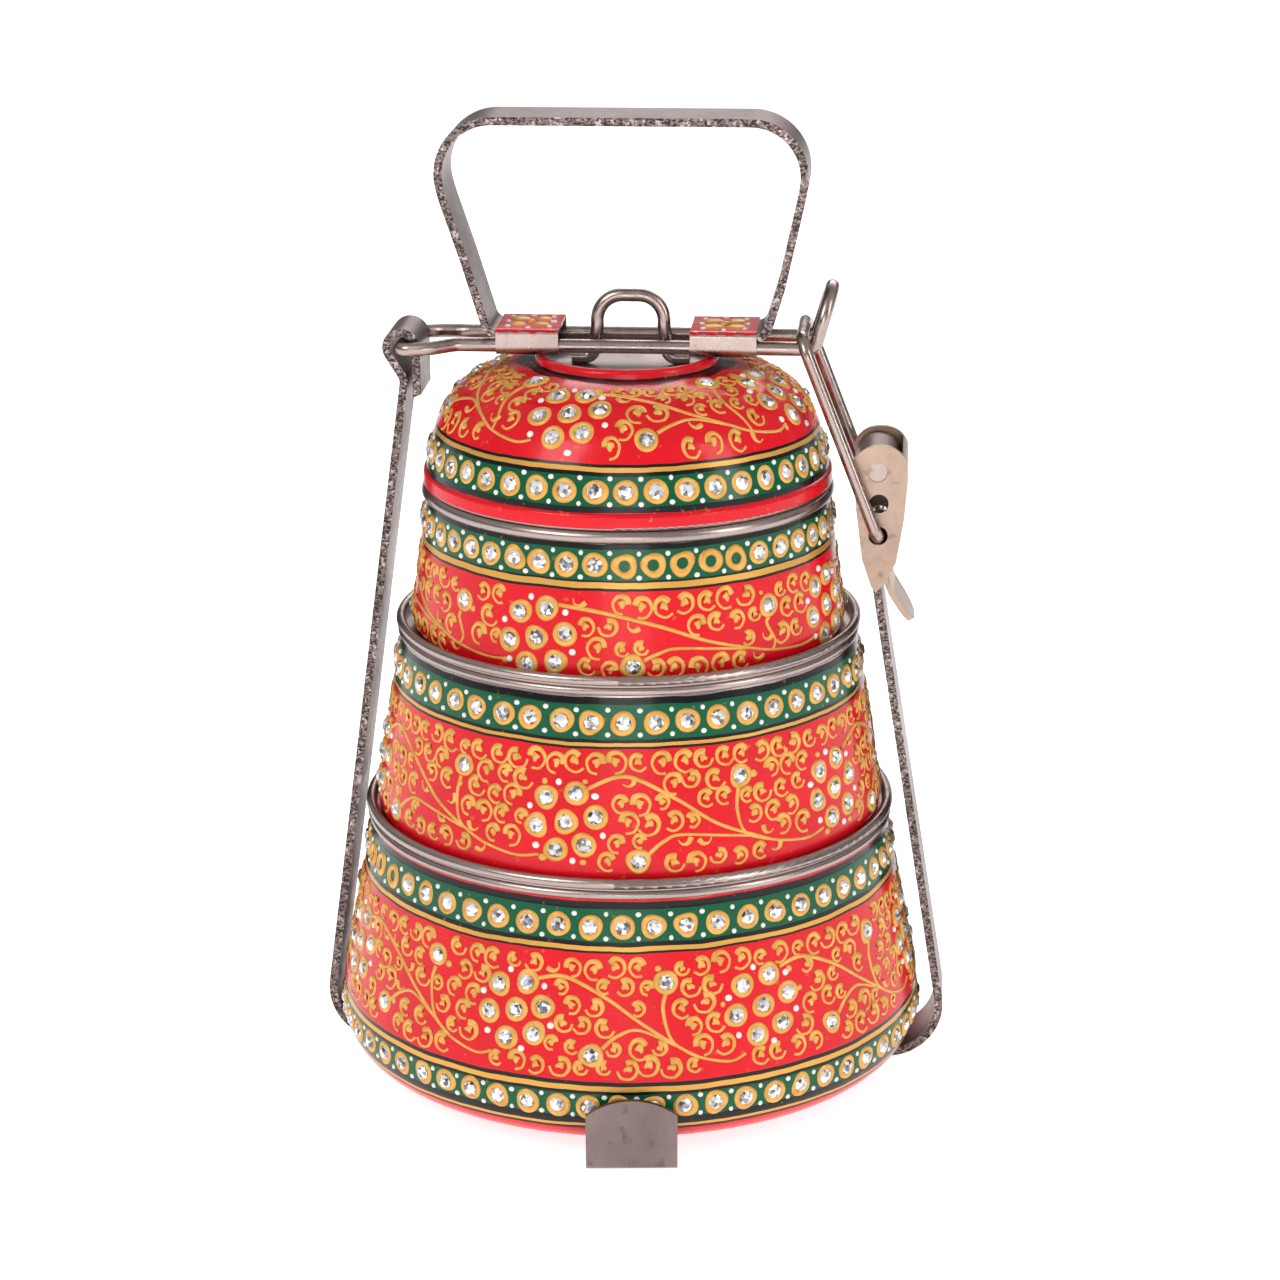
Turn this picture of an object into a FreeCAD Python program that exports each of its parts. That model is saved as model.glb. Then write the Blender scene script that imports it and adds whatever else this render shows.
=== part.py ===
import FreeCAD, Part
import math
import os
import Sketcher

V = FreeCAD.Vector
doc = FreeCAD.newDocument("LunchCarrier")

# ---------------------------------------------------------------- driving dimensions (mm, degrees)
SIZES = {
    # straps of the frame
    "strap_width": 19.0, "strap_thick": 2.3, "foot_width": 25.0, "foot_thick": 1.5,
    "foot_reach": 88.0, "foot_apex": 20.9, "foot_shoulder": 16.4, "foot_skew": 5.0, "foot_bend": 2.0,
    "cradle_bend": 15.35, "left_lean": 7.98, "right_lean": 9.09, "neck_x": 61.65, "neck_z": 202.2,
    "neck_bend": 4.0, "left_roll_x": -62.3, "left_roll_z": 211.1, "left_roll_inner": 3.0,
    "left_roll_start": 212.0, "tail_end_z": 196.9,
    "right_roll_x": 70.5, "right_roll_z": 178.3, "right_roll_inner": 4.0, "right_roll_sweep": 285.0,
    # latch
    "lever_width": 24.7, "lever_sheet": 1.5, "lever_hole": 2.7, "pin_end": 2.63, "pin_barrel": 3.93,
    "link_hole_x": 70.87, "link_hole_z": 160.2, "spare_hole_x": 70.94, "spare_hole_z": 169.4,
    "link_wire": 1.7, "link_reach": 59.8, "link_arm": 15.8, "link_end": 10.0, "link_tilt": 21.25,
    "link_foot_bend": 3.0, "link_top_bend": 5.6, "tongue_width": 19.0, "tongue_round": 7.0,
    # top bar, clips and carry handle
    "bar_wire": 1.9, "bar_half": 9.0, "bar_z": 212.2, "bar_wide": 11.9, "hook_x": 52.5, "hook_lean": 16.0,
    "hook_rise": 7.4, "clip_sheet": 0.5, "clip_half": 11.5, "clip_top": 217.0, "clip_near": 18.2,
    "left_clip_far": 35.6, "right_clip_far": 36.6, "clip_seam": 0.8, "handle_top": 274.35,
    "handle_foot_z": 215.25, "handle_bend": 14.85, "handle_foot_bend": 4.0,
    # lid loop handle
    "loop_wire": 1.85, "loop_half": 9.3, "loop_top": 224.95, "loop_foot_z": 207.3, "loop_flare": 10.6,
    "loop_foot_end": 16.5, "loop_bend": 7.0, "loop_x": 1.0,
    # stack of containers
    "sheet": 1.0, "rest_gap": 0.02, "bottom_z": 3.8, "middle_z": 77.2, "top_z": 130.8, "lid_z": 172.4,
    "bottom_radius": 84.0, "bottom_corner": 12.5, "middle_radius": 72.5, "middle_corner": 2.5,
    "top_radius": 61.3, "top_corner": 2.5, "bead": 1.7, "neck_radius": 54.5,
    # stones
    "stone_radius": 2.2, "stone_height": 1.3, "stone_gap": 0.05,
    "petal_distance": 8.4, "petal_turn": 12.0,
}


class Dim:
    """A length with its value and the sheet expression that gives it."""

    def __init__(self, text, value):
        self.text = text
        self.value = value

    def __add__(self, other):
        other = as_dim(other)
        return Dim(f"({self.text} + {other.text})", self.value + other.value)

    def __sub__(self, other):
        other = as_dim(other)
        return Dim(f"({self.text} - {other.text})", self.value - other.value)

    def __mul__(self, factor):
        return Dim(f"({self.text} * {factor:.6f})", self.value * factor)

    def __neg__(self):
        return self * -1.0

    def __truediv__(self, factor):
        return self * (1.0 / factor)

    def times(self, other):
        return Dim(f"({self.text} * {other.text})", self.value * other.value)

    __radd__ = __add__

    def __rsub__(self, other):
        return as_dim(other) - self


def as_dim(number):
    return number if isinstance(number, Dim) else Dim(f"{number:.6f}", float(number))


def sine(angle):
    return Dim(f"sin({angle.text} * 1 deg)", math.sin(math.radians(angle.value)))


def cosine(angle):
    return Dim(f"cos({angle.text} * 1 deg)", math.cos(math.radians(angle.value)))


def tangent(angle):
    return Dim(f"tan({angle.text} * 1 deg)", math.tan(math.radians(angle.value)))


def polar(centre_x, centre_z, radius, angle):
    angle = as_dim(angle)
    radius = as_dim(radius)
    return centre_x + radius.times(cosine(angle)), centre_z + radius.times(sine(angle))


sheet = doc.addObject("Spreadsheet::Sheet", "Dims")
for row, (alias, size) in enumerate(SIZES.items(), start=1):
    sheet.set(f"A{row}", alias)
    sheet.set(f"B{row}", str(size))
    sheet.setAlias(f"B{row}", alias)
doc.recompute()
D = {alias: Dim(f"Dims.{alias}", size) for alias, size in SIZES.items()}
HALF_STRAP = D["strap_thick"] / 2


# ---------------------------------------------------------------- helpers for the bodies
def new_body(label):
    body = doc.addObject("PartDesign::Body", label)
    body.Label = label
    return body


def origin_plane(body, role):
    return [item for item in body.Origin.OriginFeatures if item.Role == role][0]


def new_sketch(body, name, role):
    sketch = body.newObject("Sketcher::SketchObject", name)
    sketch.AttachmentSupport = [(origin_plane(body, role), "")]
    sketch.MapMode = "FlatFace"
    return sketch


def pin_point(sketch, geometry, position, x, y):
    """Ties one point of the sketch to its two coordinates on the sheet."""
    for kind, size in (("DistanceX", as_dim(x)), ("DistanceY", as_dim(y))):
        index = sketch.addConstraint(Sketcher.Constraint(kind, -1, 1, geometry, position, size.value))
        sketch.setExpression(f"Constraints[{index}]", size.text)


def set_radius(sketch, geometry, radius):
    radius = as_dim(radius)
    index = sketch.addConstraint(Sketcher.Constraint("Radius", geometry, radius.value))
    sketch.setExpression(f"Constraints[{index}]", radius.text)


def circle_part(centre, radius, start, end):
    """Counter-clockwise arc from the point start to the point end."""
    first = math.atan2(start.y - centre.y, start.x - centre.x)
    last = math.atan2(end.y - centre.y, end.x - centre.x)
    if last <= first:
        last += 2 * math.pi
    return Part.ArcOfCircle(Part.Circle(centre, V(0, 0, 1), radius), first, last)


def outline(body, name, role, points):
    """Closed outline. A point is (x, y) or (x, y, r): r is the radius of the arc to the next point,
    positive where the arc runs counter-clockwise."""
    sketch = new_sketch(body, name, role)
    places = [V(as_dim(p[0]).value, as_dim(p[1]).value, 0) for p in points]
    ends = []
    for index, point in enumerate(points):
        start, end = places[index], places[(index + 1) % len(points)]
        if len(point) == 2:
            geometry = sketch.addGeometry(Part.LineSegment(start, end), False)
            ends.append((geometry, 1, 2))
            continue
        radius = as_dim(point[2])
        chord = end - start
        height = math.sqrt(max(radius.value ** 2 - (chord.Length / 2) ** 2, 0.0))
        left = V(-chord.y, chord.x, 0).normalize()
        side = 1 if radius.value > 0 else -1
        centre = (start + end) * 0.5 + left * height * side
        if side > 0:
            arc = circle_part(centre, radius.value, start, end)
            geometry = sketch.addGeometry(arc, False)
            ends.append((geometry, 1, 2))
        else:
            arc = circle_part(centre, -radius.value, end, start)
            geometry = sketch.addGeometry(arc, False)
            ends.append((geometry, 2, 1))
        set_radius(sketch, geometry, radius if side > 0 else -radius)
    for index, (geometry, first, last) in enumerate(ends):
        following = ends[(index + 1) % len(ends)]
        sketch.addConstraint(Sketcher.Constraint("Coincident", geometry, last, following[0], following[1]))
        pin_point(sketch, geometry, first, points[index][0], points[index][1])
    return sketch


def bent_path(body, name, role, corners):
    """Open path of straight runs. A corner is (x, y) at the ends and (x, y, bend radius) between."""
    sketch = new_sketch(body, name, role)
    places = [V(as_dim(c[0]).value, as_dim(c[1]).value, 0) for c in corners]
    cuts = [places[0]]
    for index in range(1, len(places) - 1):
        back = (places[index - 1] - places[index]).normalize()
        ahead = (places[index + 1] - places[index]).normalize()
        radius = as_dim(corners[index][2]).value
        cut = radius / math.tan(back.getAngle(ahead) / 2)
        cuts += [places[index] + back * cut, places[index] + ahead * cut]
    cuts.append(places[-1])
    lines = [sketch.addGeometry(Part.LineSegment(cuts[2 * i], cuts[2 * i + 1]), False)
             for i in range(len(places) - 1)]
    for index in range(1, len(places) - 1):
        start, end = cuts[2 * index - 1], cuts[2 * index]
        inward = ((start + end) * 0.5 - places[index]).normalize()
        radius = as_dim(corners[index][2]).value
        half = (start - places[index]).Length
        centre = places[index] + inward * math.hypot(half, radius)
        left_turn = (start - centre).cross(end - centre).z > 0
        if left_turn:
            arc = sketch.addGeometry(circle_part(centre, radius, start, end), False)
        else:
            arc = sketch.addGeometry(circle_part(centre, radius, end, start), False)
        first, last = (1, 2) if left_turn else (2, 1)
        corner = sketch.addGeometry(Part.Point(places[index]), True)
        for constraint in (
            Sketcher.Constraint("Tangent", lines[index - 1], 2, arc, first),
            Sketcher.Constraint("Tangent", arc, last, lines[index], 1),
            Sketcher.Constraint("PointOnObject", corner, 1, lines[index - 1]),
            Sketcher.Constraint("PointOnObject", corner, 1, lines[index]),
        ):
            sketch.addConstraint(constraint)
        pin_point(sketch, corner, 1, corners[index][0], corners[index][1])
        set_radius(sketch, arc, corners[index][2])
    pin_point(sketch, lines[0], 1, corners[0][0], corners[0][1])
    pin_point(sketch, lines[-1], 2, corners[-1][0], corners[-1][1])
    return sketch


def rectangle(body, name, role, low_x, high_x, low_y, high_y):
    return outline(body, name, role, [(low_x, low_y), (high_x, low_y), (high_x, high_y), (low_x, high_y)])


def wire_section(body, name, role, x, y, radius):
    sketch = new_sketch(body, name, role)
    centre = V(as_dim(x).value, as_dim(y).value, 0)
    geometry = sketch.addGeometry(Part.Circle(centre, V(0, 0, 1), radius.value), False)
    set_radius(sketch, geometry, radius)
    pin_point(sketch, geometry, 3, x, y)
    return sketch


def sweep(body, name, profile, path):
    pipe = body.newObject("PartDesign::AdditivePipe", name)
    pipe.Profile = profile
    pipe.Spine = (path, [])
    return pipe


def mirror(body, features, role):
    feature = body.newObject("PartDesign::Mirrored", "Mirror")
    feature.Originals = features
    feature.MirrorPlane = (origin_plane(body, role), [""])
    body.Tip = feature


def pad(body, name, profile, length):
    """Pad to both sides of the profile's plane."""
    feature = body.newObject("PartDesign::Pad", name)
    feature.Profile = profile
    feature.SideType = "Symmetric"
    feature.Length = length.value
    feature.setExpression("Length", length.text)
    return feature


def cut_both_ways(body, name, profile, depth):
    """Pocket to both sides of the profile's plane; it must take something away."""
    doc.recompute()
    before = body.Shape.Volume
    feature = body.newObject("PartDesign::Pocket", name)
    feature.Profile = profile
    feature.SideType = "Symmetric"
    feature.Length = depth.value
    feature.setExpression("Length", depth.text)
    doc.recompute()
    if body.Shape.Volume >= before - 0.01:
        raise RuntimeError(f"{name} cuts nothing")
    return feature


def turned(body, points):
    """Solid of revolution about Z of the closed outline of (radius, height) points."""
    profile = outline(body, "Profile", "XZ_Plane", points)
    feature = body.newObject("PartDesign::Revolution", "Turned")
    feature.Profile = profile
    feature.ReferenceAxis = (profile, ["V_Axis"])
    feature.Angle = 360
    return feature


def lift(body, height):
    body.setExpression("Placement.Base.z", height.text)


# ---------------------------------------------------------------- spun containers and the lid
def container(label, base, radius, corner, straight, shoulder, neck, rim_bottom, lip, ledge, next_base):
    """Open bowl. Heights are above its own base: the wall is upright up to straight and leans in from
    there to shoulder = (radius, height). neck is the radius between the two rim beads, rim_bottom the
    height of the lower bead, lip the bead radius of the rolled edge. ledge is the inner radius of the
    ring that carries the next container, whose base is at next_base."""
    body = new_body(label)
    wall = D["sheet"]
    low_bead = rim_bottom + 1.65 * lip
    groove = low_bead + 0.5
    crest = groove + 2 * lip
    inside = neck - wall
    seat = next_base - base - D["rest_gap"]
    turned(body, [
        (0, 0), (radius - corner, 0, corner), (radius, corner), (radius, straight),
        shoulder, (neck + 0.1, rim_bottom, lip * 0.85), (neck, low_bead), (neck, groove, lip),
        (neck + lip, groove + lip, lip), (neck, crest, lip), (neck - lip, groove + lip),
        (neck - lip, seat), (ledge, seat), (ledge, seat - wall),
        (inside, seat - wall), (shoulder[0] - wall, shoulder[1]), (radius - wall, straight),
        (radius - wall, corner, -(corner - wall)), (radius - corner, wall), (0, wall)])
    lift(body, base)
    return body


container("bottom_container", D["bottom_z"], D["bottom_radius"], D["bottom_corner"], 21.2,
          (as_dim(74.8), as_dim(68.2)), as_dim(74.7), as_dim(70.4), 1.5, 69.0, D["middle_z"])
container("middle_container", D["middle_z"], D["middle_radius"], D["middle_corner"], 6.8,
          (as_dim(65.6), as_dim(48.8)), as_dim(64.9), as_dim(51.8), 1.35, 57.6, D["top_z"])


def top_container():
    """The top bowl ends in a flat shoulder for the lid and a plain neck inside it."""
    body = new_body("top_container")
    wall, radius, corner, neck = D["sheet"], D["top_radius"], D["top_corner"], D["neck_radius"]
    shoulder = D["lid_z"] - D["top_z"] - D["rest_gap"]
    turned(body, [
        (0, 0), (radius - corner, 0, corner), (radius, corner), (radius, 6.2), (57.3, 35.2),
        (56.9, shoulder - 3.5, D["bead"] * 1.05), (56.3, shoulder), (neck, shoulder),
        (neck, shoulder + 2.6, 0.5),
        (neck - 0.5, shoulder + 3.1, 0.5), (neck - wall, shoulder + 2.6), (neck - wall, shoulder - 2),
        (55.9, shoulder - 4.5), (56.2, 35.2), (radius - wall, 6.2), (radius - wall, corner, -(corner - wall)),
        (radius - corner, wall), (0, wall)])
    lift(body, D["top_z"])


# Upright wall of the lid above its flange, and the dome's arcs: (radius, height, radius of the arc)
LID_WALL = [(56.5, 6.6), (54.4, 14.6), (53.8, 17.0)]
DOME_ARCS = [(52.6, 19.6, 21.4), (47.38, 26.63, 25.9), (40.19, 31.14, 41.4), (26.0, 34.31)]


def lid_shell():
    """Pressed lid: rolled flange, upright wall, dome, raised ring and sunk disc in the middle."""
    body = new_body("lid_shell")
    turned(body, [
        (55.2, 0), (56.6, 0, 1.2), (57.7, 1.2), (57.6, 3.8, 1.2), (56.7, 4.8), *LID_WALL, *DOME_ARCS,
        (25.9, 35.4, 1.5), (24.4, 36.8, 1.5), (22.9, 35.4), (22.6, 33.0), (0, 33.0), (0, 32.0),
        (23.4, 32.0), (24.2, 33.5, -40.4), (39.8, 30.22, -24.9), (46.72, 25.88, -20.4), (51.69, 19.18),
        (52.7, 17.0), (53.3, 14.6), (55.4, 6.6)])
    lift(body, D["lid_z"])


top_container()
lid_shell()


def lid_loop_handle():
    """Bent wire loop standing in the lid's sunk disc, its feet turned outward along X."""
    body = new_body("lid_loop_handle")
    section = wire_section(body, "Section", "YZ_Plane", 0, D["loop_top"], D["loop_wire"])
    path = bent_path(body, "Path", "XZ_Plane", [
        (0, D["loop_top"]), (D["loop_half"], D["loop_top"], D["loop_bend"]),
        (D["loop_half"], D["loop_top"] - 9, 12), (D["loop_flare"], D["loop_foot_z"], 2.4),
        (D["loop_foot_end"], D["loop_foot_z"])])
    mirror(body, [sweep(body, "Wire", section, path)], "YZ_Plane")
    body.setExpression("Placement.Base.x", D["loop_x"].text)
    return body


lid_loop_handle()


# ---------------------------------------------------------------- cradle and feet
def strap_section(body, name, low):
    """Cross-section of the flat strap in the YZ plane, its lower face at the height low."""
    half = D["strap_width"] / 2
    return rectangle(body, name, "YZ_Plane", -half, half, low, low + D["strap_thick"])


def cradle_strap():
    """One strap under the stack and up both sides; the left end is an open roll with a hanging tail,
    the right end is curled outward round the lever pin."""
    body = new_body("cradle_strap")
    middle_z = D["foot_thick"] + HALF_STRAP
    left_radius = D["left_roll_inner"] + HALF_STRAP
    left_end = polar(D["left_roll_x"], D["left_roll_z"], left_radius, D["left_roll_start"])
    neck = (-D["neck_x"], D["neck_z"], D["neck_bend"])
    left_corner = -(D["neck_x"] + tangent(D["left_lean"]).times(D["neck_z"] - middle_z))
    left_path = bent_path(body, "LeftPath", "XZ_Plane", [
        (0, middle_z), (left_corner, middle_z, D["cradle_bend"]), neck, left_end])
    left = sweep(body, "LeftStrap", strap_section(body, "LeftSection", D["foot_thick"]), left_path)
    right_radius = D["right_roll_inner"] + HALF_STRAP
    right_end = polar(D["right_roll_x"], D["right_roll_z"], right_radius, D["right_lean"] + 180)
    right_corner = right_end[0] + tangent(D["right_lean"]).times(right_end[1] - middle_z)
    right_path = bent_path(body, "RightPath", "XZ_Plane", [
        (0, middle_z), (right_corner, middle_z, D["cradle_bend"]), right_end])
    sweep(body, "RightStrap", strap_section(body, "RightSection", D["foot_thick"]), right_path)

    def roll(name, centre_x, centre_z, inner, start, stops, tail):
        """Curl from the angle start clockwise through the angles in stops, then the tail points."""
        outer = inner + D["strap_thick"]
        angles = [start] + stops
        outside = [(*polar(centre_x, centre_z, outer, angle), -outer) for angle in angles[:-1]]
        inside = [(*polar(centre_x, centre_z, inner, angle), inner) for angle in reversed(angles[1:])]
        last_out = polar(centre_x, centre_z, outer, angles[-1])
        first_in = polar(centre_x, centre_z, inner, angles[0])
        ring = outside + [last_out] + tail + inside + [first_in]
        profile = outline(body, name + "Outline", "XZ_Plane", ring)
        pad(body, name, profile, D["strap_width"])

    outer_x = D["left_roll_x"] + D["left_roll_inner"] + D["strap_thick"]
    tail = [(outer_x, D["tail_end_z"] + 1.0), (outer_x - D["strap_thick"], D["tail_end_z"])]
    roll("LeftRoll", D["left_roll_x"], D["left_roll_z"], D["left_roll_inner"], D["left_roll_start"],
         [as_dim(140), as_dim(70), as_dim(0)], tail)
    right_start = D["right_lean"] + 180
    steps = 4
    stops = [right_start - D["right_roll_sweep"] * (step / steps) for step in range(1, steps + 1)]
    roll("RightRoll", D["right_roll_x"], D["right_roll_z"], D["right_roll_inner"], right_start, stops, [])
    return body


def cross_foot_strap():
    """Thin strap across the underside, both ends bent up into round-topped lips."""
    body = new_body("cross_foot_strap")
    half = D["foot_width"] / 2
    mid = D["foot_thick"] / 2
    section = rectangle(body, "Section", "XZ_Plane", -half, half, 0, D["foot_thick"])
    path = bent_path(body, "Path", "YZ_Plane", [
        (0, mid), (D["foot_reach"] - mid, mid, D["foot_bend"]), (D["foot_reach"] - mid, D["foot_apex"] + 2)])
    mirror(body, [sweep(body, "Strap", section, path)], "XZ_Plane")
    above = D["foot_apex"] + 6
    arch = outline(body, "Arch", "XZ_Plane", [
        (-half - 1, D["foot_shoulder"]), (-half, D["foot_shoulder"], -20.0), (0, D["foot_apex"], -20.0),
        (half, D["foot_shoulder"]), (half + 1, D["foot_shoulder"]), (half + 1, above), (-half - 1, above)])
    cut_both_ways(body, "RoundedLips", arch, D["foot_reach"] * 2.5)
    body.Placement = FreeCAD.Placement(V(0, 0, 0), FreeCAD.Rotation(V(0, 0, 1), SIZES["foot_skew"]))
    body.setExpression("Placement.Rotation.Angle", "Dims.foot_skew * 1 deg")
    return body


def lever_pin():
    """Pin inside the right roll, its turned-down ends in the lever's cheeks."""
    body = new_body("lever_pin")
    half = D["strap_width"] / 2 + 1.0
    end = D["lever_width"] / 2 - 0.3
    barrel, small = D["pin_barrel"], D["pin_end"]
    turned(body, [(0, -end), (small, -end), (small, -half), (barrel, -half), (barrel, half), (small, half),
                  (small, end), (0, end)])
    centre = V(SIZES["right_roll_x"], 0, SIZES["right_roll_z"])
    body.Placement = FreeCAD.Placement(centre, FreeCAD.Rotation(V(1, 0, 0), 90))
    body.setExpression("Placement.Base.x", D["right_roll_x"].text)
    body.setExpression("Placement.Base.z", D["right_roll_z"].text)
    return body


cradle_strap()
cross_foot_strap()
lever_pin()


# ---------------------------------------------------------------- latch
def latch_lever():
    """Channel of folded sheet: two cheeks with three holes each, a spine on the outer side and a
    tongue that flares away from the stack."""
    body = new_body("latch_lever")
    sheet_thick = D["lever_sheet"]
    cheeks = outline(body, "Cheeks", "XZ_Plane", [
        (64.65, 167.6), (66.5, 153.2), (69.2, 145.3), (70.4, 143.6), (73.3, 146.6), (76.0, 152.6),
        (78.0, 164.9), (78.9, 176.0), (78.7, 181.0, 7.6), (70.6, 186.0, 7.6), (63.5, 181.0)])
    pad(body, "Folded", cheeks, D["lever_width"])
    hollow = outline(body, "Hollow", "XZ_Plane", [
        (60, 140), (71.2, 140), (72.0, 146.9), (74.4, 152.9), (76.4, 165.0), (77.35, 176.0), (77.2, 190),
        (60, 190)])
    cut_both_ways(body, "Inside", hollow, D["lever_width"] - sheet_thick * 2)
    for name, x, z in (("PinHole", D["right_roll_x"], D["right_roll_z"]),
                       ("SpareHole", D["spare_hole_x"], D["spare_hole_z"]),
                       ("LinkHole", D["link_hole_x"], D["link_hole_z"])):
        circle = wire_section(body, name + "Circle", "XZ_Plane", x, z, D["lever_hole"])
        cut_both_ways(body, name, circle, D["lever_width"] + 2)
    tongue = outline(body, "TongueSide", "XZ_Plane", [
        (73.2, 151.2), (72.4, 146.6), (74.2, 142.2), (80.1, 133.0), (81.4, 133.8), (75.6, 143.1),
        (74.1, 147.0), (75.0, 150.9)])
    flared = pad(body, "Tongue", tongue, D["tongue_width"])
    doc.recompute()
    tip_edges = []
    for index, edge in enumerate(body.Shape.Edges, start=1):
        middle_point = edge.CenterOfMass
        at_side = abs(abs(middle_point.y) - SIZES["tongue_width"] / 2) < 0.01
        if middle_point.z < 139 and at_side and edge.Length < 2:
            tip_edges.append(f"Edge{index}")
    rounding = body.newObject("PartDesign::Fillet", "TongueTip")
    rounding.Base = (flared, tip_edges)
    rounding.Radius = SIZES["tongue_round"]
    rounding.setExpression("Radius", D["tongue_round"].text)
    return body


def latch_link():
    """Bent wire: its bar lies across the top bar's rods, its ends turn in through the lever's holes."""
    body = new_body("latch_link")
    reach = D["link_reach"]
    section = wire_section(body, "Section", "XZ_Plane", 0, reach, D["link_wire"])
    path = bent_path(body, "Path", "YZ_Plane", [
        (0, reach), (D["link_arm"], reach, D["link_top_bend"]), (D["link_arm"], 0, D["link_foot_bend"]),
        (D["link_end"], 0)])
    mirror(body, [sweep(body, "Wire", section, path)], "XZ_Plane")
    base = V(SIZES["link_hole_x"], 0, SIZES["link_hole_z"])
    body.Placement = FreeCAD.Placement(base, FreeCAD.Rotation(V(0, 1, 0), -SIZES["link_tilt"]))
    body.setExpression("Placement.Base.x", D["link_hole_x"].text)
    body.setExpression("Placement.Base.z", D["link_hole_z"].text)
    body.setExpression("Placement.Rotation.Angle", "-Dims.link_tilt * 1 deg")
    return body


latch_lever()
latch_link()


# ---------------------------------------------------------------- top bar with its clips and handle
def size(alias):
    return float(sheet.get(alias))


def top_bar():
    """Closed loop of round wire: it crosses the left roll, runs along both sides and rises into the
    hook on the right. Half of it is swept and mirrored."""
    half, wide, bar_z = size("bar_half"), size("bar_wide"), size("bar_z")
    roll_x, roll_z = size("left_roll_x"), size("left_roll_z")
    lean = math.radians(size("hook_lean"))
    rise = V(math.sin(lean), 0, math.cos(lean))
    bend = V(size("hook_x"), half, bar_z)
    shoulder = bend + rise * size("hook_rise")
    centre = V(shoulder.x, 0, shoulder.z)
    corners = [(V(roll_x, 0, roll_z), 0), (V(roll_x, wide, roll_z), 2.6), (V(-54.0, wide, 211.5), 8),
               (V(-47.0, half, bar_z), 8), (bend, 3.0), (shoulder, 0)]
    edges = []
    start = corners[0][0]
    for index in range(1, len(corners) - 1):
        corner, radius = corners[index]
        back = (corners[index - 1][0] - corner).normalize()
        ahead = (corners[index + 1][0] - corner).normalize()
        cut = radius / math.tan(back.getAngle(ahead) / 2)
        inward = (back + ahead).normalize()
        deep = math.hypot(cut, radius) - radius
        end = corner + back * cut
        edges.append(Part.LineSegment(start, end).toShape())
        edges.append(Part.Arc(end, corner + inward * deep, corner + ahead * cut).toShape())
        start = corner + ahead * cut
    edges.append(Part.LineSegment(start, shoulder).toShape())
    middle_of_arc = centre + (V(0, 1, 0) + rise).normalize() * half
    edges.append(Part.Arc(shoulder, middle_of_arc, centre + rise * half).toShape())
    circle = Part.Circle(corners[0][0], V(0, 1, 0), size("bar_wire")).toShape()
    tube = Part.Wire(edges).makePipeShell([Part.Wire([circle])], True, True)
    whole = tube.fuse(tube.mirror(V(0, 0, 0), V(0, 1, 0))).removeSplitter()
    feature = doc.addObject("Part::Feature", "top_bar")
    feature.Shape = whole.Solids[0]
    feature.Placement = FreeCAD.Placement()
    return feature


def clip(label, side, far):
    """Thin sheet wrapped round both rods and one foot of the handle, with a seam underneath."""
    body = new_body(label)
    thick = D["clip_sheet"]
    out_y, top_z = D["clip_half"], D["clip_top"]
    in_y, in_top = out_y - thick, top_z - thick
    low = D["bar_z"] - D["bar_wire"] - thick - 0.05
    in_low = low + thick
    seam = D["clip_seam"] / 2
    soft, tight = 2.5, 1.5
    rim, hard = soft - 0.5, tight - 0.5
    ring = outline(body, "Ring", "YZ_Plane", [
        (seam, low), (out_y - soft, low, soft), (out_y, low + soft), (out_y, top_z - tight, tight),
        (out_y - tight, top_z), (-(out_y - tight), top_z, tight), (-out_y, top_z - tight),
        (-out_y, low + soft, soft), (-(out_y - soft), low), (-seam, low), (-seam, in_low),
        (-(in_y - rim), in_low, -rim), (-in_y, in_low + rim),
        (-in_y, in_top - hard, -hard), (-(in_y - hard), in_top), (in_y - hard, in_top, -hard),
        (in_y, in_top - hard), (in_y, in_low + rim, -rim), (in_y - rim, in_low), (seam, in_low)])
    length = far - D["clip_near"]
    pad(body, "Wrap", ring, length)
    centre = (far + D["clip_near"]) / 2 * side
    body.setExpression("Placement.Base.x", centre.text)
    return body


def carry_handle():
    """Arch of flat strap, its feet lying on the rods under the clips."""
    body = new_body("carry_handle")
    top_z, foot_z = D["handle_top"], D["handle_foot_z"]
    right = bent_path(body, "RightPath", "XZ_Plane", [
        (0, top_z), (52.2, top_z, D["handle_bend"]), (48.65, 253.9, 40), (43.2, 229.1, 40),
        (39.0, foot_z, D["handle_foot_bend"]), (19.0, foot_z)])
    left = bent_path(body, "LeftPath", "XZ_Plane", [
        (0, top_z), (-54.9, top_z, D["handle_bend"]), (-49.9, 252.9, 40), (-44.2, 235.9, 40),
        (-37.9, foot_z, D["handle_foot_bend"]), (-19.0, foot_z)])
    low = top_z - HALF_STRAP
    sweep(body, "RightHalf", strap_section(body, "RightSection", low), right)
    sweep(body, "LeftHalf", strap_section(body, "LeftSection", low), left)
    return body


top_bar()
clip("left_clip", -1.0, D["left_clip_far"])
clip("right_clip", 1.0, D["right_clip_far"])
carry_handle()


# ---------------------------------------------------------------- stones
def stone():
    """Eight-sided stone: upright girdle, sloping crown and flat table, its base on z = 0."""
    radius, height = size("stone_radius"), size("stone_height")
    rings = []
    for ring_radius, ring_z in ((radius, 0.0), (radius, height * 0.4), (radius * 0.58, height)):
        corners = [V(ring_radius * math.cos(math.radians(45 * k + 22.5)),
                     ring_radius * math.sin(math.radians(45 * k + 22.5)), ring_z) for k in range(8)]
        rings.append(Part.makePolygon(corners + corners[:1]))
    return Part.makeLoft(rings, True, True)


STONE = stone()


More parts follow.
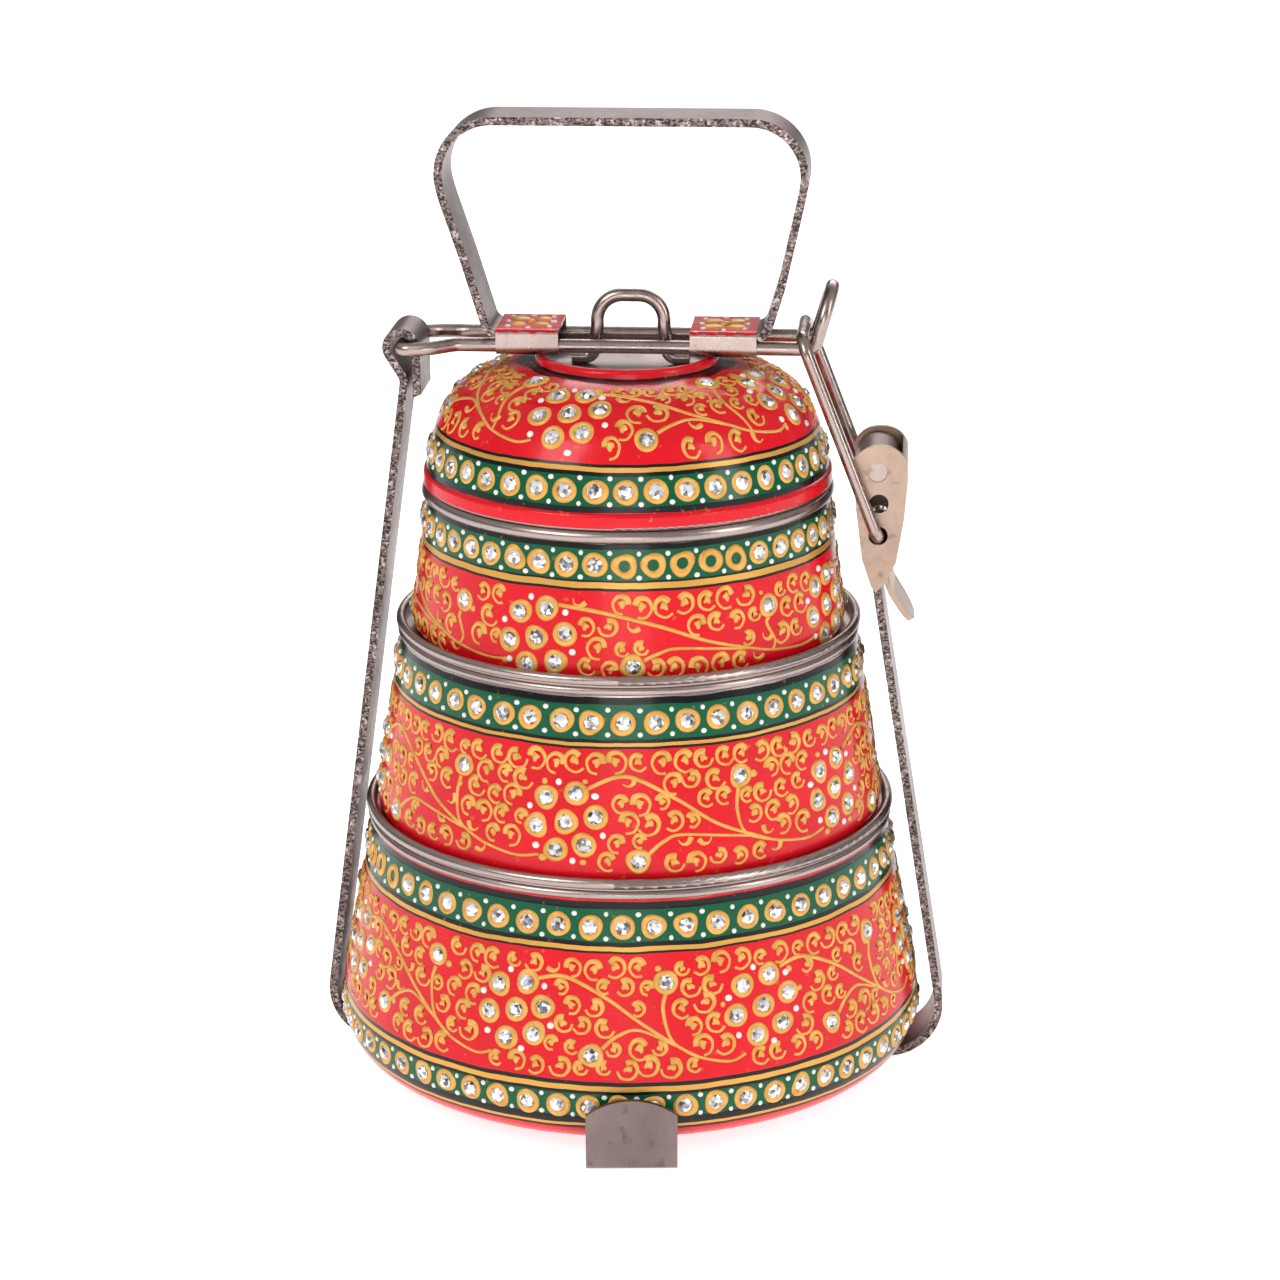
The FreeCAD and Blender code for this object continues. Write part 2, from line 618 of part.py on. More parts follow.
def set_stone(azimuth, radius, height, slope):
    """One stone on a wall point: azimuth from the front (-Y) towards +X, slope = the wall normal's
    angle above level."""
    placed = STONE.copy()
    tilt = FreeCAD.Rotation(V(0, 1, 0), 90 - slope)
    turn = FreeCAD.Rotation(V(0, 0, 1), azimuth - 90)
    rotation = turn.multiply(tilt)
    normal = rotation.multVec(V(0, 0, 1))
    angle = math.radians(azimuth - 90)
    base = V(radius * math.cos(angle), radius * math.sin(angle), height)
    placed.Placement = FreeCAD.Placement(base + normal * size("stone_gap"), rotation)
    return placed


def stone_group(label, stones):
    feature = doc.addObject("Part::Feature", label)
    feature.Shape = Part.makeCompound(stones)
    feature.Placement = FreeCAD.Placement()
    return feature


def walk(profile, height, distance=0.0):
    """Radius, height and normal slope of the place that lies distance up the wall from the height.
    profile is the wall outline from below, as (height, radius)."""
    lengths = [math.dist(low, high) for low, high in zip(profile, profile[1:])]
    to_go = distance
    for (low, low_radius), (high, high_radius), length in zip(profile, profile[1:], lengths):
        if low <= height <= high:
            to_go += length * (height - low) / (high - low)
            break
        to_go += length
    for (low, low_radius), (high, high_radius), length in zip(profile, profile[1:], lengths):
        if to_go <= length:
            share = to_go / length
            slope = math.degrees(math.atan2(low_radius - high_radius, high - low))
            return low_radius + (high_radius - low_radius) * share, low + (high - low) * share, slope
        to_go -= length
    raise ValueError(f"no wall {distance} from {height}")


def bulge(start, end, curve_radius, steps=8):
    """Places along the arc from start to end, both (height, radius), that bulges outward."""
    chord = math.dist(start, end)
    deep = math.sqrt(curve_radius ** 2 - (chord / 2) ** 2)
    centre_z = (start[0] + end[0]) / 2 + (end[1] - start[1]) / chord * deep
    centre_r = (start[1] + end[1]) / 2 - (end[0] - start[0]) / chord * deep
    first = math.atan2(start[1] - centre_r, start[0] - centre_z)
    last = math.atan2(end[1] - centre_r, end[0] - centre_z)
    angles = [first + (last - first) * step / steps for step in range(steps + 1)]
    return [(centre_z + curve_radius * math.cos(a), centre_r + curve_radius * math.sin(a)) for a in angles]


def set_on_wall(profile, azimuth, height):
    radius, height, slope = walk(profile, height)
    return set_stone(azimuth, radius, height, slope)


def band(label, profile, count, height, missing=()):
    """Evenly spaced row of stones; missing = (first, last) azimuth of a stretch that lost its stones."""
    azimuths = [-180 + 360 / count * (index + 0.5) for index in range(count)]
    kept = [a for a in azimuths if not (missing and missing[0] <= a <= missing[1])]
    stone_group(label, [set_on_wall(profile, azimuth, height) for azimuth in kept])


def ornament(label, profile, periods, flower, squeeze, low, high):
    """Flowers of seven stones and single stones, repeated round the wall. flower, low and high are
    (azimuth of the first, height); squeeze crowds the motifs a little towards the front."""
    stones = []
    petal_distance = size("petal_distance")

    def spread(azimuth):
        return azimuth - squeeze * math.sin(math.radians(azimuth - flower[0]))

    for index in range(periods):
        step = 360 / periods * (index - periods // 2)
        middle_azimuth = spread(flower[0] + step)
        stones.append(set_on_wall(profile, middle_azimuth, flower[1]))
        for petal in range(6):
            angle = math.radians(60 * petal + size("petal_turn"))
            radius, height, slope = walk(profile, flower[1], petal_distance * math.sin(angle))
            turn = math.degrees(petal_distance * math.cos(angle) / radius)
            stones.append(set_stone(middle_azimuth + turn, radius, height, slope))
        for azimuth, height in (low, high):
            stones.append(set_on_wall(profile, spread(azimuth + step), height))
    stone_group(label, stones)


# Wall outlines above the ground, from below: (height, radius)
BASE_WALL = [(16.3, 84.0), (25.0, 84.0)]
BOTTOM_WALL = [(25.0, 84.0), (72.0, 74.8)]
MIDDLE_WALL = [(79.7, 72.5), (84.0, 72.5), (126.0, 65.6)]
TOP_WALL = [(133.3, 61.3), (137.0, 61.3), (166.0, 57.3)]
lid_base = size("lid_z")
LID_SIDE = [(lid_base + height, radius) for radius, height in LID_WALL]
DOME_WALL = [LID_SIDE[-1]]
for arc, following in zip(DOME_ARCS, DOME_ARCS[1:]):
    DOME_WALL += bulge((lid_base + arc[1], arc[0]), (lid_base + following[1], following[0]), arc[2])

band("base_band_stones", BASE_WALL, 60, 17.3)
band("bottom_band_stones", BOTTOM_WALL, 54, 66.7, (-70, -53))
band("middle_band_stones", MIDDLE_WALL, 48, 121.8)
band("top_band_stones", TOP_WALL, 46, 163.2, (0, 36))
band("lid_band_stones", LID_SIDE, 42, 183.0)
ornament("bottom_flower_stones", BOTTOM_WALL, 7, (-18.0, 42.3), 2.1, (-2.0, 32.0), (13.2, 51.7))
ornament("middle_flower_stones", MIDDLE_WALL, 5, (-9.3, 94.6), 4.5, (8.2, 84.5), (33.8, 105.3))
ornament("top_flower_stones", TOP_WALL, 4, (-19.3, 142.8), 1.0, (6.6, 136.0), (45.6, 148.6))
ornament("lid_flower_stones", DOME_WALL, 4, (-15.9, 201.3), 2.0, (11.8, 196.0), (46.5, 205.6))

# ---------------------------------------------------------------- check and export
doc.recompute()
for item in doc.Objects:
    if "Invalid" in item.State or "Error" in item.State:
        raise RuntimeError(f"{item.Label}: {item.State}")
parts = [item for item in doc.Objects if item.TypeId in ("PartDesign::Body", "Part::Feature")]
for item in parts:
    if item.Shape.isNull() or not item.Shape.isValid() or not item.Shape.Solids:
        raise RuntimeError(f"{item.Label} has no valid solid")
    if item.TypeId == "PartDesign::Body" and len(item.Shape.Solids) != 1:
        raise RuntimeError(f"{item.Label} is {len(item.Shape.Solids)} solids")
os.makedirs("parts", exist_ok=True)
for item in parts:
    item.Shape.exportStep(f"parts/{item.Label}.step")
    box = item.Shape.BoundBox
    print(f"{item.Label:22s} {len(item.Shape.Solids):3d} solids {item.Shape.Volume:10.1f} mm3  "
          f"x {box.XMin:7.2f} {box.XMax:7.2f}  y {box.YMin:7.2f} {box.YMax:7.2f}  "
          f"z {box.ZMin:7.2f} {box.ZMax:7.2f}")
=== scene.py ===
import math
import random

import bpy
import numpy as np
from mathutils import Matrix, Vector
from mathutils.kdtree import KDTree


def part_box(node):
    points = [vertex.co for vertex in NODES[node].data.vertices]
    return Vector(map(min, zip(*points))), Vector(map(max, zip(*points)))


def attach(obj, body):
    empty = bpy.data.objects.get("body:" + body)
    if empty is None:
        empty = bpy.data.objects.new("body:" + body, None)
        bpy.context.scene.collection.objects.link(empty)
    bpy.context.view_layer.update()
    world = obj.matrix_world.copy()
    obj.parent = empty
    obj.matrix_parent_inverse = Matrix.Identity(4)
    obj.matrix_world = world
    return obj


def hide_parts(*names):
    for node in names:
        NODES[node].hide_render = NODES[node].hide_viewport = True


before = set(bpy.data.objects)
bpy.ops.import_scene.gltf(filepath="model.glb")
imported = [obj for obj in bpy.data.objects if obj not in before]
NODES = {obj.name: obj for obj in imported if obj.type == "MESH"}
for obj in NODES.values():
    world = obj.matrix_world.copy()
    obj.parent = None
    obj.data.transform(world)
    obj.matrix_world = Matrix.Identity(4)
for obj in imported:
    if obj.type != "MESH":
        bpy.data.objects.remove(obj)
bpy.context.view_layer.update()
MM = 0.001
chance = random.Random(7)

# Colours of the paints, linear.
RED = (0.72, 0.005, 0.014)
GREEN = (0.003, 0.100, 0.042)
BLACK = (0.006, 0.006, 0.007)
GOLD = (0.70, 0.37, 0.075)
STEEL = (0.42, 0.335, 0.315)


# ---------------------------------------------------------------- node helpers
class Graph:
    """A material's node tree with short ways to add and join nodes."""

    def __init__(self, name):
        self.material = bpy.data.materials.new(name)
        self.material.use_nodes = True
        self.tree = self.material.node_tree
        self.tree.nodes.clear()
        self.out = self.add("ShaderNodeOutputMaterial")
        self.shader = self.add("ShaderNodeBsdfPrincipled")
        self.join(self.shader.outputs[0], self.out.inputs["Surface"])
        coordinates = self.add("ShaderNodeTexCoord")
        self.place = coordinates.outputs["Object"]

    def add(self, kind, **settings):
        node = self.tree.nodes.new(kind)
        for key, setting in settings.items():
            setattr(node, key, setting)
        return node

    def join(self, source, target):
        self.tree.links.new(source, target)

    def noise(self, scale, detail=3.0, stretch=(1, 1, 1)):
        mapping = self.add("ShaderNodeMapping")
        mapping.inputs["Scale"].default_value = stretch
        self.join(self.place, mapping.inputs["Vector"])
        node = self.add("ShaderNodeTexNoise")
        node.inputs["Scale"].default_value = scale
        node.inputs["Detail"].default_value = detail
        self.join(mapping.outputs[0], node.inputs["Vector"])
        return node.outputs["Fac"]

    def math(self, operation, first, second=0.0, third=None):
        node = self.add("ShaderNodeMath", operation=operation)
        for index, value in enumerate((first, second, third)):
            if value is None:
                continue
            if isinstance(value, (int, float)):
                node.inputs[index].default_value = value
            else:
                self.join(value, node.inputs[index])
        return node.outputs[0]

    def spread(self, value, low, high, new_low, new_high):
        node = self.add("ShaderNodeMapRange")
        for index, number in enumerate((low, high, new_low, new_high), start=1):
            node.inputs[index].default_value = number
        self.join(value, node.inputs[0])
        return node.outputs[0]

    def ramp(self, value, stops, constant=False):
        node = self.add("ShaderNodeValToRGB")
        node.color_ramp.interpolation = "CONSTANT" if constant else "LINEAR"
        elements = node.color_ramp.elements
        while len(elements) < len(stops):
            elements.new(0.5)
        for element, (position, color) in zip(elements, stops):
            element.position = position
            element.color = (*color, 1.0)
        self.join(value, node.inputs[0])
        return node.outputs[0]

    def mix(self, factor, first, second):
        node = self.add("ShaderNodeMix", data_type="RGBA")
        for socket, value in ((0, factor), (6, first), (7, second)):
            if isinstance(value, (int, float)):
                node.inputs[socket].default_value = value
            elif isinstance(value, tuple):
                node.inputs[socket].default_value = (*value, 1.0)
            else:
                self.join(value, node.inputs[socket])
        return node.outputs[2]

    def bump(self, height, strength, distance):
        node = self.add("ShaderNodeBump")
        node.inputs["Strength"].default_value = strength
        node.inputs["Distance"].default_value = distance
        self.join(height, node.inputs["Height"])
        self.join(node.outputs[0], self.shader.inputs["Normal"])

    def feed(self, socket, value):
        if isinstance(value, (int, float)):
            self.shader.inputs[socket].default_value = value
        elif isinstance(value, tuple):
            self.shader.inputs[socket].default_value = (*value, 1.0)
        else:
            self.join(value, self.shader.inputs[socket])


def steel(name, tint, rough, brushed=(1, 1, 1), brush_scale=900, dirt=0.35, pits=0.0, bumps=0.35,
          sheared=False):
    """Worn bare steel: brushed streaks, smudged roughness, dull spots and faint pits. A sheared strip
    has coarse, dark-flecked edges, on the faces that look along Y."""
    g = Graph(name)
    streak = g.noise(brush_scale, 2.0, brushed)
    smudge = g.noise(45, 4.0)
    spots = g.noise(260, 5.0)
    dark = tuple(c * 0.55 for c in tint)
    blot = g.spread(smudge, 0.35, 0.75, 0.0, dirt)
    color = g.mix(blot, tint, dark)
    spot_mask = g.spread(spots, 0.60, 0.70, 0.0, 0.45)
    color = g.mix(spot_mask, color, tuple(c * 0.35 for c in tint))
    if sheared:
        coordinates = g.add("ShaderNodeTexCoord")
        facing = g.add("ShaderNodeSeparateXYZ")
        g.join(coordinates.outputs["Normal"], facing.inputs[0])
        edge = g.math("GREATER_THAN", g.math("ABSOLUTE", facing.outputs[1]), 0.6)
        flecks = g.spread(g.noise(1300, 3.0, (1, 1, 1.6)), 0.44, 0.56, 0.0, 1.0)
        color = g.mix(g.math("MULTIPLY", edge, flecks), color, tuple(c * 0.16 for c in tint))
        pale = g.spread(g.noise(900, 2.0), 0.58, 0.66, 0.0, 0.5)
        color = g.mix(g.math("MULTIPLY", edge, pale), color, (0.72, 0.62, 0.58))
    g.feed("Base Color", color)
    g.feed("Metallic", 1.0)
    worn = g.spread(streak, 0.3, 0.7, rough - 0.07, rough + 0.10)
    g.feed("Roughness", g.math("ADD", worn, g.spread(smudge, 0.3, 0.8, 0.0, 0.12)))
    height = g.math("ADD", g.math("MULTIPLY", streak, 0.5), g.math("MULTIPLY", spots, 0.5 + pits))
    g.bump(height, bumps, 0.00006)
    return g.material


def enamel(name, zones, low, bare_radius=0.0, lid=False):
    """Gloss paint in level bands by height, with hand-painted edges, and bare steel where a zone says
    so, on the inside and nearer the axis than bare_radius (mm). zones is a list of (top height in mm,
    colour, metallic, roughness) from low upwards. A bowl's inside looks up, a lid's looks down."""
    g = Graph(name)
    high = zones[-1][0]
    split = g.add("ShaderNodeSeparateXYZ")
    g.join(g.place, split.inputs[0])
    wobble = g.spread(g.noise(70, 2.0), 0.3, 0.7, -0.00022, 0.00022)
    height = g.math("ADD", split.outputs[2], wobble)
    share = g.spread(height, low * MM, high * MM, 0.0, 1.0)

    def stops(pick):
        start, result = low, []
        for top, *looks in zones:
            result.append(((start - low) / (high - low), pick(looks)))
            start = top
        return result

    color = g.ramp(share, stops(lambda looks: looks[0]), True)
    metal = g.ramp(share, stops(lambda looks: (looks[1],) * 3), True)
    rough = g.ramp(share, stops(lambda looks: (looks[2],) * 3), True)
    shade = g.noise(38, 3.0)
    strokes = g.noise(160, 3.0, (1, 1, 9))
    color = g.mix(g.spread(shade, 0.35, 0.7, 0.0, 0.28), color, g.mix(0.45, color, BLACK))
    worn = g.spread(g.noise(420, 4.0), 0.66, 0.72, 0.0, 0.5)
    color = g.mix(worn, color, g.mix(0.4, color, GOLD))
    # the inside is bare: its faces look towards the axis, or up in a bowl, or down in a lid
    level = g.add("ShaderNodeVectorMath", operation="MULTIPLY")
    level.inputs[1].default_value = (1, 1, 0)
    g.join(g.place, level.inputs[0])
    outward = g.add("ShaderNodeVectorMath", operation="DOT_PRODUCT")
    g.join(level.outputs[0], outward.inputs[0])
    texture_normal = g.add("ShaderNodeTexCoord")
    g.join(texture_normal.outputs["Normal"], outward.inputs[1])
    rise = g.add("ShaderNodeSeparateXYZ")
    g.join(texture_normal.outputs["Normal"], rise.inputs[0])
    if lid:
        flat = g.math("LESS_THAN", rise.outputs[2], -0.3)
    else:
        flat = g.math("GREATER_THAN", rise.outputs[2], 0.9)
    inside = g.math("MAXIMUM", flat, g.math("LESS_THAN", outward.outputs["Value"], -0.0001))
    distance = g.add("ShaderNodeVectorMath", operation="LENGTH")
    g.join(level.outputs[0], distance.inputs[0])
    inside = g.math("MAXIMUM", inside, g.math("LESS_THAN", distance.outputs["Value"], bare_radius * MM))
    g.feed("Base Color", g.mix(inside, color, STEEL))
    g.feed("Metallic", g.math("MAXIMUM", metal, inside))
    uneven = g.spread(strokes, 0.3, 0.7, -0.03, 0.07)
    duller = g.math("MAXIMUM", rough, g.math("MULTIPLY", inside, 0.3))
    g.feed("Roughness", g.math("ADD", duller, uneven))
    g.feed("Specular IOR Level", 0.22)
    g.feed("Coat Weight", 0.10)
    g.feed("Coat Roughness", 0.06)
    relief = g.math("ADD", g.math("MULTIPLY", strokes, 0.7), g.math("MULTIPLY", shade, 0.6))
    g.bump(relief, 0.28, 0.00012)
    return g.material


def gold_paint():
    g = Graph("gold_relief")
    patch = g.spread(g.noise(240, 4.0), 0.3, 0.7, 0.0, 1.0)
    g.feed("Base Color", g.mix(patch, (0.80, 0.43, 0.095), (0.60, 0.29, 0.045)))
    g.feed("Metallic", 0.20)
    g.feed("Roughness", g.spread(g.noise(600, 3.0), 0.3, 0.7, 0.30, 0.50))
    g.bump(g.noise(1500, 4.0), 0.5, 0.00005)
    return g.material


def white_paint():
    g = Graph("white_dots")
    g.feed("Base Color", g.mix(g.noise(500), (0.86, 0.84, 0.80), (0.74, 0.72, 0.66)))
    g.feed("Roughness", g.spread(g.noise(300), 0.3, 0.7, 0.28, 0.45))
    g.bump(g.noise(1800), 0.3, 0.00003)
    return g.material


def crystal():
    """Foil-backed cut stone. Its facets carry painted glints: random cells of colour, from dark to bright
    silver, stand in for light reflected off the facets.
    """
    g = Graph("cut_stone")
    cells = g.add("ShaderNodeTexVoronoi")
    cells.inputs["Scale"].default_value = 900
    g.join(g.place, cells.inputs["Vector"])
    painted_glint_cells = g.add("ShaderNodeSeparateColor")
    g.join(cells.outputs["Color"], painted_glint_cells.inputs[0])
    # painted glints: each random cell gets a grey from near black to bright silver, as a facet reflecting
    # light would look; roughness also varies by cell
    stops = [(0.0, (0.05, 0.045, 0.05)), (0.26, (0.34, 0.33, 0.33)), (0.50, (0.72, 0.70, 0.71)),
             (1.0, (0.95, 0.95, 0.97))]
    g.feed("Base Color", g.ramp(painted_glint_cells.outputs[0], stops))
    g.feed("Metallic", 0.30)
    g.feed("Roughness", g.spread(painted_glint_cells.outputs[1], 0.0, 1.0, 0.03, 0.14))
    g.feed("Coat Weight", 1.0)
    g.feed("Coat Roughness", 0.02)
    return g.material


def plain(name, color, rough):
    """Even colour, for the floor only."""
    g = Graph(name)
    g.feed("Base Color", color)
    g.feed("Roughness", rough)
    return g.material


def painted(top, color):
    return (top, color, 0.0, 0.22)


def gilt(top):
    return (top, GOLD, 0.55, 0.38)


def bare(top):
    return (top, STEEL, 1.0, 0.27)


# The bands of each piece from below, with the height above the ground where each one ends (mm).
BOTTOM_ZONES = [painted(9.7, RED), painted(10.5, BLACK), gilt(11.6), painted(13.9, BLACK),
                painted(20.7, GREEN), painted(21.6, BLACK), gilt(23.3), painted(24.3, BLACK),
                painted(59.3, RED), painted(59.8, BLACK), gilt(61.3), painted(62.3, BLACK),
                painted(71.2, GREEN), painted(73.5, BLACK), painted(74.1, RED), bare(82)]
MIDDLE_ZONES = [painted(114.6, RED), painted(115.3, BLACK), gilt(116.2), painted(117.1, BLACK),
                painted(126.5, GREEN), painted(128.3, BLACK), bare(136)]
TOP_ZONES = [painted(156.1, RED), painted(156.9, BLACK), gilt(158.5), painted(159.1, BLACK),
             painted(167.3, GREEN), painted(168.9, BLACK), bare(177)]
LID_ZONES = [painted(177.2, RED), painted(179.0, BLACK), painted(187.0, GREEN), painted(188.0, BLACK),
             gilt(189.2), painted(190.0, BLACK), painted(206.35, RED), painted(207.0, BLACK),
             painted(212, RED)]
CLIP_ZONES = [painted(216.2, RED), painted(219, RED)]


# ---------------------------------------------------------------- dressing the CAD nodes
def dress(node, material):
    item = NODES[node]
    for slot in item.material_slots:
        slot.material = material
    if not item.material_slots:
        item.data.materials.append(material)


STRAP_STEEL = steel("strap_steel", (0.25, 0.185, 0.175), 0.32, (1, 6, 1), 500, 0.55, 0.4, sheared=True)
FOOT_STEEL = steel("foot_steel", (0.25, 0.19, 0.185), 0.34, (6, 1, 1), 300, 0.70, 0.6, 0.5)
WIRE_STEEL = steel("wire_steel", (0.44, 0.345, 0.315), 0.22, (1, 1, 1), 420, 0.45, 0.0, 0.05)
LEVER_STEEL = steel("lever_steel", (0.44, 0.315, 0.245), 0.32, (1, 8, 1), 600, 0.35, 0.0, 0.2)
CLIP_STEEL = steel("clip_steel", (0.48, 0.38, 0.35), 0.26, (8, 1, 1), 600, 0.35, 0.0, 0.2)
dress("bottom_container", enamel("bottom_enamel", BOTTOM_ZONES, 3.0))
dress("middle_container", enamel("middle_enamel", MIDDLE_ZONES, 76.0))
dress("top_container", enamel("top_enamel", TOP_ZONES, 130.0))
dress("lid_shell", enamel("lid_enamel", LID_ZONES, 172.0, bare_radius=22.7, lid=True))
for name in ("cradle_strap", "carry_handle"):
    dress(name, STRAP_STEEL)
dress("cross_foot_strap", FOOT_STEEL)
for name in ("top_bar", "latch_link", "lid_loop_handle", "lever_pin"):
    dress(name, WIRE_STEEL)
dress("latch_lever", LEVER_STEEL)
for name in ("left_clip", "right_clip"):
    dress(name, CLIP_STEEL)


# ---------------------------------------------------------------- stones, rings and dots
def islands(node):
    """Centres and outward normals of the separate stones of a CAD node."""
    mesh = NODES[node].data
    tree = KDTree(len(mesh.vertices))
    for vertex in mesh.vertices:
        tree.insert(vertex.co, vertex.index)
    tree.balance()
    parent = list(range(len(mesh.vertices)))

    def root(index):
        while parent[index] != index:
            index = parent[index]
        return index

    for vertex in mesh.vertices:
        for _, other, _ in tree.find_range(vertex.co, 0.02 * MM):
            parent[root(other)] = root(vertex.index)
    for polygon in mesh.polygons:
        for index in polygon.vertices[1:]:
            parent[root(index)] = root(polygon.vertices[0])
    by_root = {}
    for vertex in mesh.vertices:
        by_root.setdefault(root(vertex.index), []).append(tuple(round(c, 6) for c in vertex.co))
    groups = [sorted(set(by_root[key])) for key in sorted(by_root)]
    stones = []
    for group in groups:
        cloud = np.array(group)
        centre = Vector((cloud.min(0) + cloud.max(0)) / 2)
        _, vectors = np.linalg.eigh(np.cov((cloud - cloud.mean(0)).T))
        normal = Vector(vectors[:, 0])
        if normal.dot(Vector((centre.x, centre.y, 0.01))) < 0:
            normal = -normal
        stones.append((centre, normal.normalized()))
    return stones


class Builder:
    """Collects many small raised shapes into one mesh."""

    def __init__(self):
        self.points, self.faces = [], []

    def add(self, points, faces):
        first = len(self.points)
        self.points += points
        self.faces += [tuple(first + index for index in face) for face in faces]

    def piece(self, name, material, body, slot=None, smooth=True):
        mesh = bpy.data.meshes.new(name)
        mesh.from_pydata([tuple(p) for p in self.points], [], self.faces)
        mesh.materials.append(material)
        for polygon in mesh.polygons:
            polygon.use_smooth = smooth
        mesh.validate()
        item = bpy.data.objects.new(name, mesh)
        bpy.context.scene.collection.objects.link(item)
        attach(item, body)
        return item


def tangent_frame(normal):
    level = Vector((0, 0, 1)) if abs(normal.z) < 0.99 else Vector((0, -1, 0))
    across = level.cross(normal).normalized()
    upward = normal.cross(across).normalized()
    return across, upward


def rings_mesh(builder, rings, close_top=True):
    """Skin over rings of equal length, first ring lowest, with a lid over the last if asked."""
    count = len(rings[0])
    points = [p for ring in rings for p in ring]
    faces = []
    for level in range(len(rings) - 1):
        for k in range(count):
            a, b = level * count + k, level * count + (k + 1) % count
            faces.append((a, b, b + count, a + count))
    if close_top:
        faces.append(tuple((len(rings) - 1) * count + k for k in range(count)))
    builder.add(points, faces)


STONE_HEIGHT = 1.3 * MM


def cut_stone(builder, centre, normal):
    """Round stone: girdle, a zigzag row of crown facets and a flat table."""
    across, upward = tangent_frame(normal)
    turn = chance.uniform(0, math.pi / 4)
    base = centre - normal * STONE_HEIGHT / 2
    sides = 8

    def ring(radius, height, shift):
        angles = [turn + shift + 2 * math.pi * k / sides for k in range(sides)]
        return [base + normal * height + (across * math.cos(angle) + upward * math.sin(angle)) * radius
                for angle in angles]

    half = math.pi / sides
    low, girdle = ring(2.1 * MM, 0, 0), ring(2.18 * MM, 0.38 * MM, 0)
    crown, table = ring(1.72 * MM, 0.86 * MM, half), ring(1.12 * MM, STONE_HEIGHT * 0.98, 0)
    points = low + girdle + crown + table
    faces = []
    for k in range(sides):
        n = (k + 1) % sides
        faces.append((k, n, sides + n, sides + k))
        faces.append((sides + k, sides + n, 2 * sides + k))
        faces.append((sides + n, 2 * sides + n, 2 * sides + k))
        faces.append((2 * sides + k, 3 * sides + n, 3 * sides + k))
        faces.append((2 * sides + k, 2 * sides + n, 3 * sides + n))
    middle = len(points)
    points.append(base + normal * STONE_HEIGHT)
    faces += [(3 * sides + k, 3 * sides + (k + 1) % sides, middle) for k in range(sides)]
    builder.add(points, faces)


def paint_ring(builder, centre, normal, inner=1.7, outer=3.5):
    """Thick hand-piped ring of gold round a stone, a little off centre and uneven."""
    across, upward = tangent_frame(normal)
    base = centre - normal * (STONE_HEIGHT / 2 + 0.05 * MM)
    base += across * chance.gauss(0, 0.16) * MM + upward * chance.gauss(0, 0.16) * MM
    waves = [(chance.uniform(0, 6.28), chance.gauss(0, 0.14)) for _ in range(3)]
    count, rings = 24, []
    section = ((0.0, -0.15), (0.06, 0.25), (0.35, 0.62), (0.7, 0.58), (0.94, 0.25), (1.0, -0.2))
    for share, height in section:
        ring = []
        for k in range(count):
            angle = 2 * math.pi * k / count
            wobble = sum(size * math.cos(n * angle + phase)
                         for n, (phase, size) in enumerate(waves, start=1))
            radius = inner + (outer + wobble - inner) * (1 - share)
            ring.append(base + (across * math.cos(angle) + upward * math.sin(angle)) * radius * MM
                        + normal * height * MM)
        rings.append(ring)
    rings_mesh(builder, rings, False)


def dot(builder, centre, normal, radius, height):
    """Rounded drop of paint, a little oval."""
    across, upward = tangent_frame(normal)
    rings = []
    stretch = chance.uniform(0.85, 1.2)
    angles = [math.pi * k / 6 for k in range(12)]
    for share, rise in ((1.0, -0.1), (0.93, 0.35), (0.68, 0.8), (0.3, 1.0)):
        rings.append([centre + (across * math.cos(angle) * stretch + upward * math.sin(angle))
                      * radius * share + normal * height * rise for angle in angles])
    rings_mesh(builder, rings)


# Places on the dome are read with rays that fan out from a circle inside it, by so many degrees per mm
# of arc. The ornament lies between two arc lengths (mm).
DOME_DEGREES = 2.9
FAN_RADIUS, FAN_HEIGHT = 29 * MM, 189.5 * MM
DOME_LOW, DOME_HIGH = 0.4, 27.0
RAY_START = 0.2


class Wall:
    """The painted outside of one CAD node, read with rays: a place is an azimuth and a height in mm.
    On the dome the height is the arc length above its lower edge."""

    def __init__(self, node, dome=False):
        self.item = NODES[node]
        self.dome = dome
        self.known = {}

    def at(self, azimuth, height):
        key = (round(azimuth, 3), round(height, 3))
        if key in self.known:
            return self.known[key]
        angle = math.radians(azimuth)
        outward = Vector((math.sin(angle), -math.cos(angle), 0))
        if self.dome:
            lift = math.radians(height * DOME_DEGREES)
            target = Vector((0, 0, FAN_HEIGHT)) + outward * FAN_RADIUS
            outward = outward * math.cos(lift) + Vector((0, 0, math.sin(lift)))
        else:
            target = Vector((0, 0, height * MM))
        hit, place, normal, _ = self.item.ray_cast(target + outward * RAY_START, -outward)
        if not hit:
            place, normal = target + outward * 0.05, outward
        if normal.dot(outward) < 0:
            normal = -normal
        self.known[key] = (place, normal)
        return self.known[key]

    def radius(self, height):
        place, _ = self.at(0, height)
        return math.hypot(place.x, place.y) / MM


